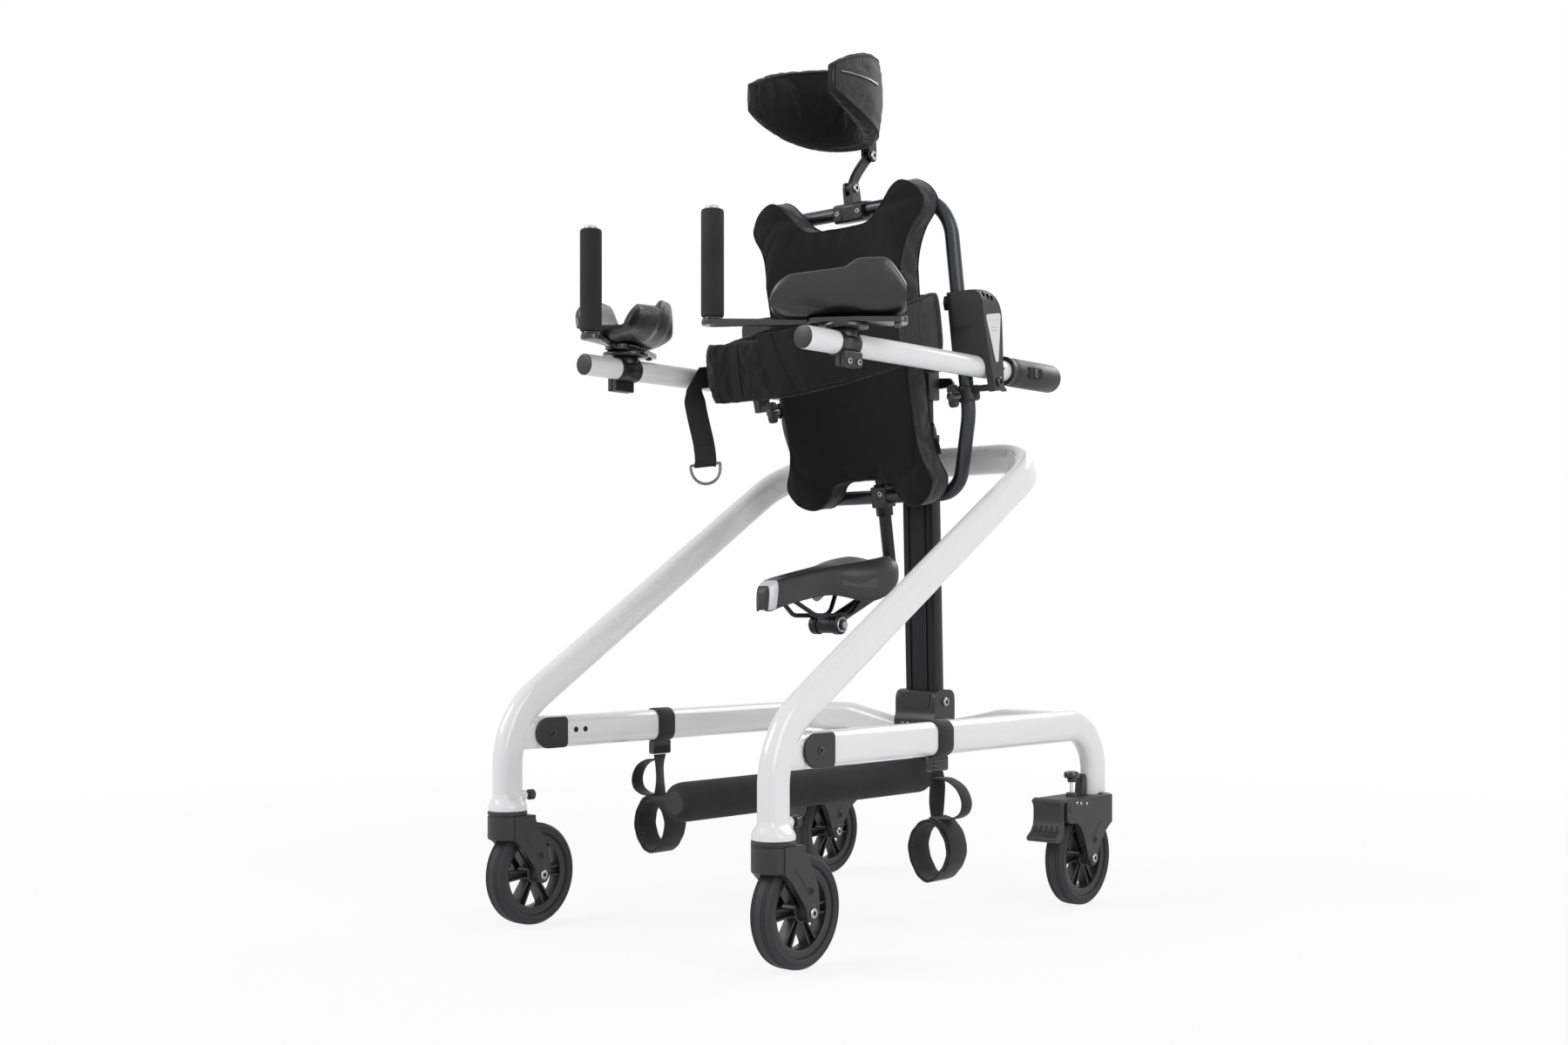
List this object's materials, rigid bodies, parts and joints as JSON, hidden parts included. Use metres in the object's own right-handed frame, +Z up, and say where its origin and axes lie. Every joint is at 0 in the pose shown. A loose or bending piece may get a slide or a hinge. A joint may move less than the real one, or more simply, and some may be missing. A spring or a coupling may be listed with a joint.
{
  "type": "gait trainer",
  "caption": "Wheeled gait trainer: a sloping hoop frame on swivel casters whose column carries a back pad, trunk belt, head pad, forearm troughs and saddle",
  "frame": {"origin": "on the floor, in the middle of the four wheels' outline", "axes": "+X to the user's left, +Y behind the user, +Z up"},
  "size_m": [0.6184, 0.83, 1.3091],
  "materials": {
    "belt_fabric": "black knit",
    "black_anodised": "black anodised",
    "black_plastic": "moulded, satin",
    "black_steel": "black coated steel",
    "charcoal_nylon": "moulded, satin",
    "chrome": "polished",
    "foam_rubber": "closed cell foam",
    "gunmetal_tube": "dark satin coat",
    "knob_plastic": "moulded",
    "pad_fabric": "black knit and mesh",
    "pedal_nylon": "moulded, satin",
    "rim_nylon": "moulded, satin",
    "saddle_skin": "synthetic leather",
    "trough_skin": "moulded integral skin",
    "tyre_rubber": "matt rubber",
    "webbing": "woven webbing",
    "white_powder_coat": "gloss powder coat",
    "white_tube": "gloss powder coat"
  },
  "bodies": {
    "base": {"hoop_frame": "white_powder_coat", "rail_left": "white_powder_coat", "rail_right": "white_powder_coat", "cross_tube": "white_powder_coat", "joint_cover_left": "black_plastic", "joint_cover_right": "black_plastic", "column_bracket": "black_plastic", "divider_bar": "foam_rubber", "ankle_strap_left": "webbing", "ankle_strap_right": "webbing"},
    "column": {"column": "black_anodised"},
    "trunk": {"mast": "black_anodised", "trunk_frame": "gunmetal_tube", "back_pad": "pad_fabric", "trunk_belt": "belt_fabric", "belt_strap": "webbing", "head_clamp": "black_plastic"},
    "ring": {"d_ring": "chrome"},
    "head_link": {"head_link": "black_plastic"},
    "head": {"head_stem": "black_plastic", "head_pad": "pad_fabric"},
    "post": {"saddle_post": "black_steel"},
    "seat": {"saddle": "saddle_skin", "saddle_clamp": "black_steel"},
    "caster_front_left": {"fork_front_left": "charcoal_nylon"},
    "wheel_front_left": {"rim_front_left": "rim_nylon", "tyre_front_left": "tyre_rubber"},
    "plunger_left": {"lock_plunger_front_left": "knob_plastic"},
    "caster_front_right": {"fork_front_right": "charcoal_nylon"},
    "wheel_front_right": {"rim_front_right": "rim_nylon", "tyre_front_right": "tyre_rubber"},
    "plunger_right": {"lock_plunger_front_right": "knob_plastic"},
    "caster_rear_left": {"fork_rear_left": "charcoal_nylon"},
    "wheel_rear_left": {"rim_rear_left": "rim_nylon", "tyre_rear_left": "tyre_rubber"},
    "pedal_left": {"brake_pedal_left": "pedal_nylon"},
    "lock_left": {"lock_knob_rear_left": "knob_plastic"},
    "caster_rear_right": {"fork_rear_right": "charcoal_nylon"},
    "wheel_rear_right": {"rim_rear_right": "rim_nylon", "tyre_rear_right": "tyre_rubber"},
    "pedal_right": {"brake_pedal_right": "pedal_nylon"},
    "lock_right": {"lock_knob_rear_right": "knob_plastic"},
    "holder_left": {"arm_housing_left": "black_plastic"},
    "wing_left": {"wing_knob_left": "knob_plastic"},
    "arm_left": {"arm_tube_left": "white_tube", "arm_sleeve_left": "black_plastic", "forearm_clamp_left": "black_plastic"},
    "forearm_left": {"forearm_bar_left": "black_plastic", "hand_grip_left": "foam_rubber", "trough_left": "trough_skin"},
    "cuff_left": {"ankle_cuff_left": "webbing"},
    "holder_right": {"arm_housing_right": "black_plastic"},
    "wing_right": {"wing_knob_right": "knob_plastic"},
    "arm_right": {"arm_tube_right": "white_tube", "arm_sleeve_right": "black_plastic", "forearm_clamp_right": "black_plastic"},
    "forearm_right": {"forearm_bar_right": "black_plastic", "hand_grip_right": "foam_rubber", "trough_right": "trough_skin"},
    "cuff_right": {"ankle_cuff_right": "webbing"}
  },
  "joints": [
    {"name": "swivel_front_left", "type": "hinge", "parent": "base", "child": "caster_front_left", "pos_m": [0.256, -0.383, 0.17], "axis": [0, 0, 1], "continuous": true},
    {"name": "roll_front_left", "type": "hinge", "parent": "caster_front_left", "child": "wheel_front_left", "pos_m": [0.256, -0.34, 0.075], "axis": [1, 0, 0], "continuous": true},
    {"name": "swivel_lock_front_left", "type": "slide", "parent": "base", "child": "plunger_left", "axis": [0, 1, 0], "range_m": [0, 0.006]},
    {"name": "swivel_front_right", "type": "hinge", "parent": "base", "child": "caster_front_right", "pos_m": [-0.256, -0.383, 0.17], "axis": [0, 0, 1], "continuous": true},
    {"name": "roll_front_right", "type": "hinge", "parent": "caster_front_right", "child": "wheel_front_right", "pos_m": [-0.256, -0.34, 0.075], "axis": [1, 0, 0], "continuous": true},
    {"name": "swivel_lock_front_right", "type": "slide", "parent": "base", "child": "plunger_right", "axis": [0, 1, 0], "range_m": [0, 0.006]},
    {"name": "swivel_rear_left", "type": "hinge", "parent": "base", "child": "caster_rear_left", "pos_m": [0.256, 0.385, 0.17], "axis": [0, 0, 1], "continuous": true},
    {"name": "roll_rear_left", "type": "hinge", "parent": "caster_rear_left", "child": "wheel_rear_left", "pos_m": [0.256, 0.34, 0.075], "axis": [1, 0, 0], "continuous": true},
    {"name": "brake_left", "type": "hinge", "parent": "caster_rear_left", "child": "pedal_left", "pos_m": [0.256, 0.2615, 0.166], "axis": [-1, 0, 0], "range_deg": [0, 14]},
    {"name": "swivel_lock_rear_left", "type": "slide", "parent": "caster_rear_left", "child": "lock_left", "axis": [0, 0, 1], "range_m": [0, 0.006]},
    {"name": "swivel_rear_right", "type": "hinge", "parent": "base", "child": "caster_rear_right", "pos_m": [-0.256, 0.385, 0.17], "axis": [0, 0, 1], "continuous": true},
    {"name": "roll_rear_right", "type": "hinge", "parent": "caster_rear_right", "child": "wheel_rear_right", "pos_m": [-0.256, 0.34, 0.075], "axis": [1, 0, 0], "continuous": true},
    {"name": "brake_right", "type": "hinge", "parent": "caster_rear_right", "child": "pedal_right", "pos_m": [-0.256, 0.2615, 0.166], "axis": [-1, 0, 0], "range_deg": [0, 14]},
    {"name": "swivel_lock_rear_right", "type": "slide", "parent": "caster_rear_right", "child": "lock_right", "axis": [0, 0, 1], "range_m": [0, 0.006]},
    {"name": "column_tilt", "type": "hinge", "parent": "base", "child": "column", "pos_m": [0, 0.286, 0.311], "axis": [-1, 0, 0], "range_deg": [0, 4]},
    {"name": "column_lift", "type": "slide", "parent": "column", "child": "trunk", "axis": [0, -0.0297, 0.9996], "range_m": [-0.05, 0.1]},
    {"name": "ring_swing", "type": "hinge", "parent": "trunk", "child": "ring", "pos_m": [-0.15781, -0.06986, 0.68504], "axis": [0.788, 0.6072, 0.1016], "range_deg": [-40, 40]},
    {"name": "head_lower", "type": "hinge", "parent": "trunk", "child": "head_link", "pos_m": [0, 0.09297, 1.11514], "axis": [1, 0, 0], "range_deg": [-10, 15]},
    {"name": "head_upper", "type": "hinge", "parent": "head_link", "child": "head", "pos_m": [0, 0.13797, 1.17414], "axis": [1, 0, 0], "range_deg": [-15, 15]},
    {"name": "saddle_height", "type": "slide", "parent": "trunk", "child": "post", "axis": [0, -0.165, 0.9863], "range_m": [-0.06, 0.03]},
    {"name": "saddle_tilt", "type": "hinge", "parent": "post", "child": "seat", "pos_m": [0, 0.036, 0.438], "axis": [1, 0, 0], "range_deg": [-8, 10]},
    {"name": "arm_height_left", "type": "slide", "parent": "trunk", "child": "holder_left", "axis": [0, -0.165, 0.9863], "range_m": [-0.006, 0.024]},
    {"name": "clamp_knob_left", "type": "hinge", "parent": "holder_left", "child": "wing_left", "pos_m": [0.18, 0.14941, 0.78696], "axis": [0, 0.9863, 0.165], "continuous": true},
    {"name": "arm_slide_left", "type": "slide", "parent": "holder_left", "child": "arm_left", "axis": [0, 1, 0], "range_m": [-0.024, 0.07]},
    {"name": "forearm_swing_left", "type": "hinge", "parent": "arm_left", "child": "forearm_left", "pos_m": [0.212, -0.188, 0.8425], "axis": [0, 0, 1], "range_deg": [-15, 50]},
    {"name": "cuff_swing_left", "type": "hinge", "parent": "base", "child": "cuff_left", "pos_m": [0.256, -0.032, 0.2325], "axis": [0, 1, 0], "range_deg": [-20, 20]},
    {"name": "arm_height_right", "type": "slide", "parent": "trunk", "child": "holder_right", "axis": [0, -0.165, 0.9863], "range_m": [-0.006, 0.024]},
    {"name": "clamp_knob_right", "type": "hinge", "parent": "holder_right", "child": "wing_right", "pos_m": [-0.18, 0.14941, 0.78696], "axis": [0, 0.9863, 0.165], "continuous": true},
    {"name": "arm_slide_right", "type": "slide", "parent": "holder_right", "child": "arm_right", "axis": [0, 1, 0], "range_m": [-0.024, 0.07]},
    {"name": "forearm_swing_right", "type": "hinge", "parent": "arm_right", "child": "forearm_right", "pos_m": [-0.212, -0.188, 0.8425], "axis": [0, 0, 1], "range_deg": [-50, 25]},
    {"name": "cuff_swing_right", "type": "hinge", "parent": "base", "child": "cuff_right", "pos_m": [-0.256, -0.07, 0.2325], "axis": [0, 1, 0], "range_deg": [-20, 20]}
  ]
}
